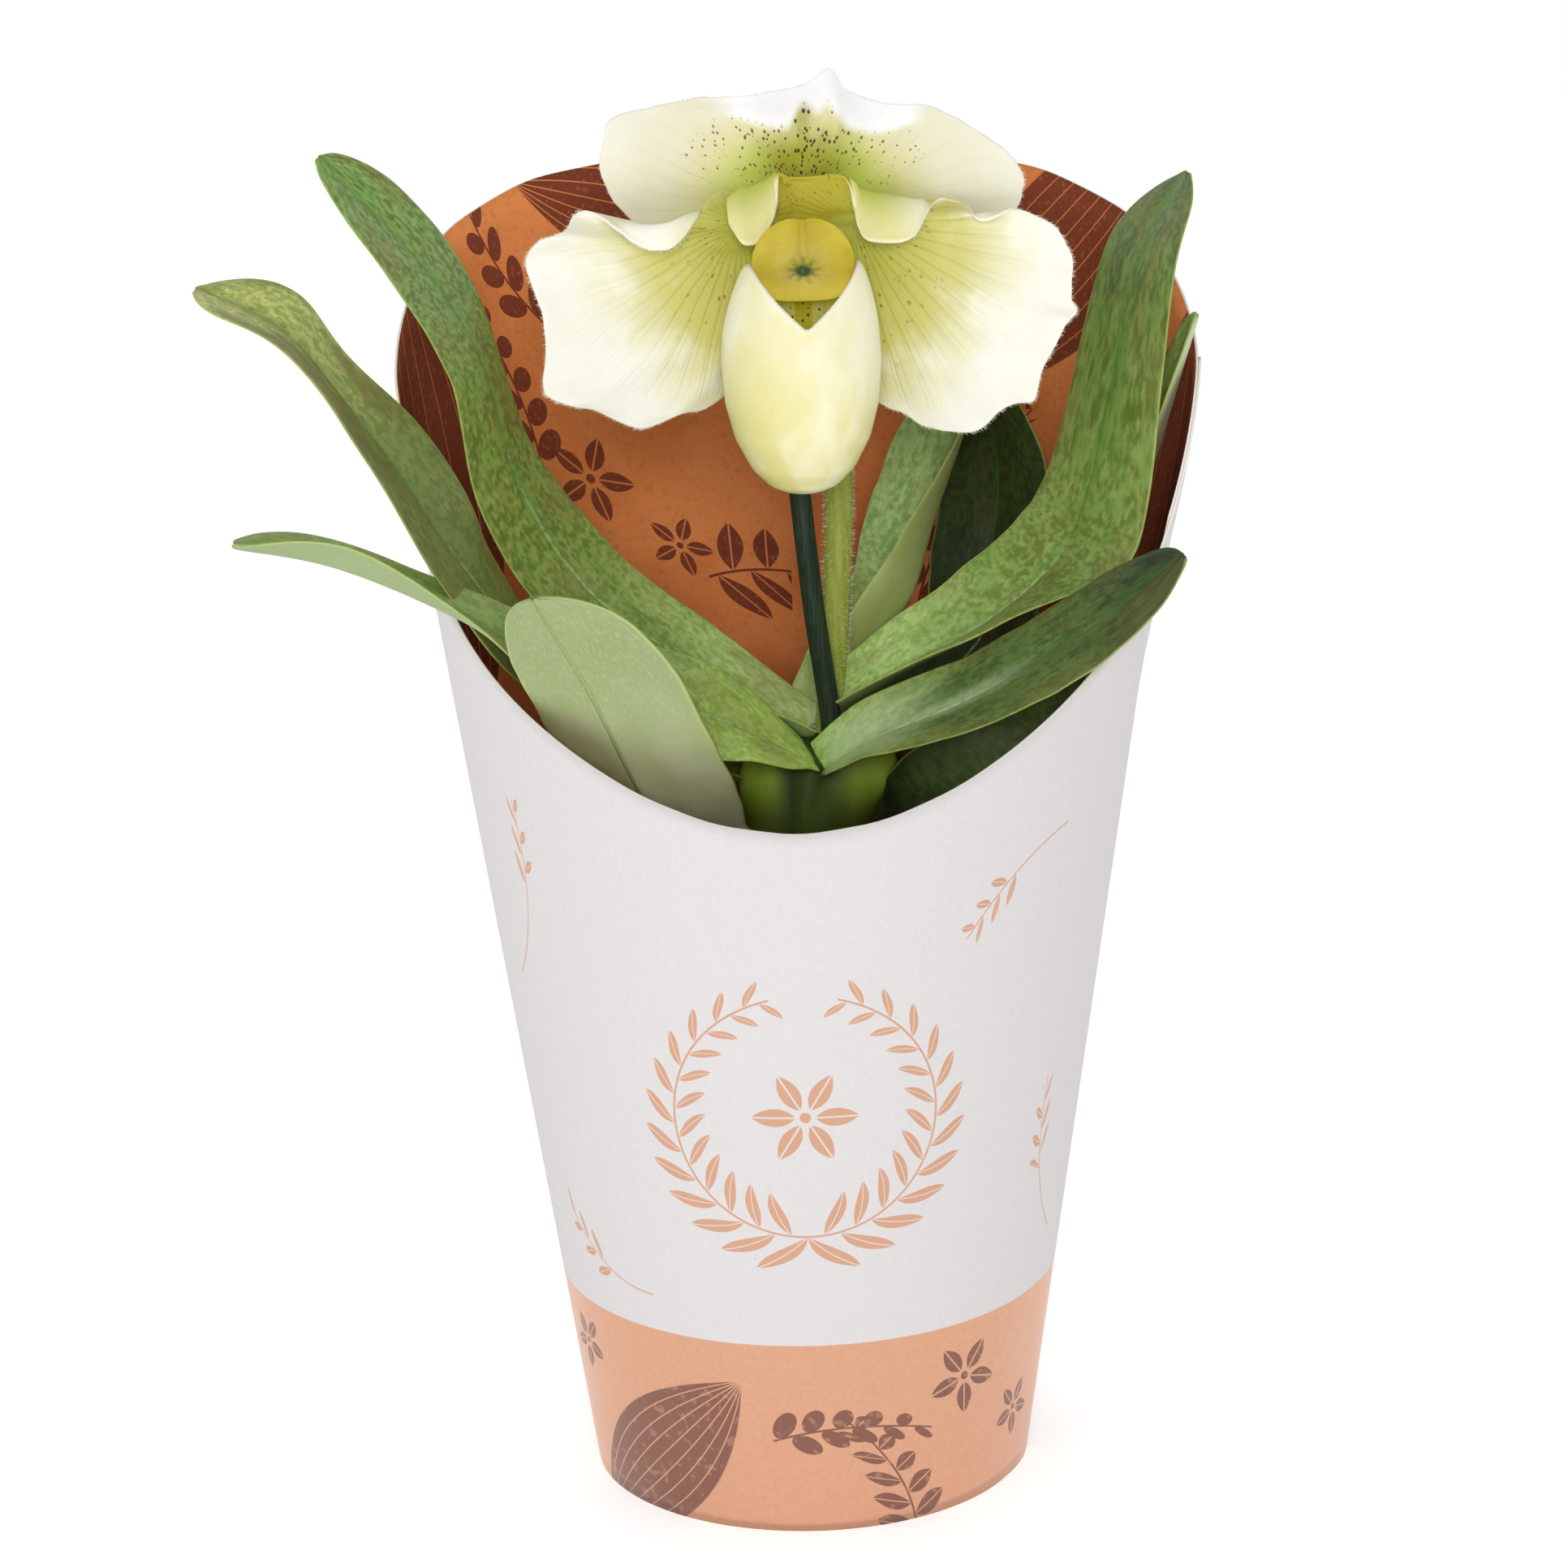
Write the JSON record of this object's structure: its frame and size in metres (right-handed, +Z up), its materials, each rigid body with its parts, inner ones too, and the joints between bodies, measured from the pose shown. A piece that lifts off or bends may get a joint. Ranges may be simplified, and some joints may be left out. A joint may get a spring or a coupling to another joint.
{
  "type": "slipper orchid in a pot with a card sleeve",
  "caption": "Paphiopedilum slipper orchid in bloom, with mottled leaves, a pouched flower and a cane, in a nursery pot inside a tall flared card sleeve cut low in front.",
  "frame": {"origin": "centre of the pot's underside, on the surface the plant stands on", "axes": "+Z up, the flower looks along -Y, +X is on the right of someone facing the flower"},
  "size_m": [0.2005, 0.1512, 0.296],
  "materials": {
    "card": "matte",
    "pot_plastic": "satin",
    "bark": "matte",
    "cane": "matte",
    "growth": "satin",
    "leaf": "satin",
    "stem": "matte",
    "petal": "matte",
    "pouch": "satin",
    "staminode": "gloss"
  },
  "bodies": {
    "root": {"card_sleeve": "card", "nursery_pot": "pot_plastic", "potting_bark": "bark", "support_cane": "cane", "growth_front": "growth", "growth_rear": "growth", "flower_stem": "stem", "leaf_right_low": "leaf", "leaf_left_low": "leaf", "leaf_right_high": "leaf", "leaf_left_high": "leaf", "leaf_front": "leaf", "leaf_behind_stem": "leaf", "leaf_back": "leaf", "leaf_right_edge": "leaf", "leaf_left_far": "leaf", "stem_bract": "stem", "ovary": "stem", "column": "petal", "dorsal_sepal": "petal", "synsepal": "petal", "petal_left": "petal", "petal_right": "petal", "pouch": "pouch", "staminode": "staminode"}
  },
  "joints": []
}
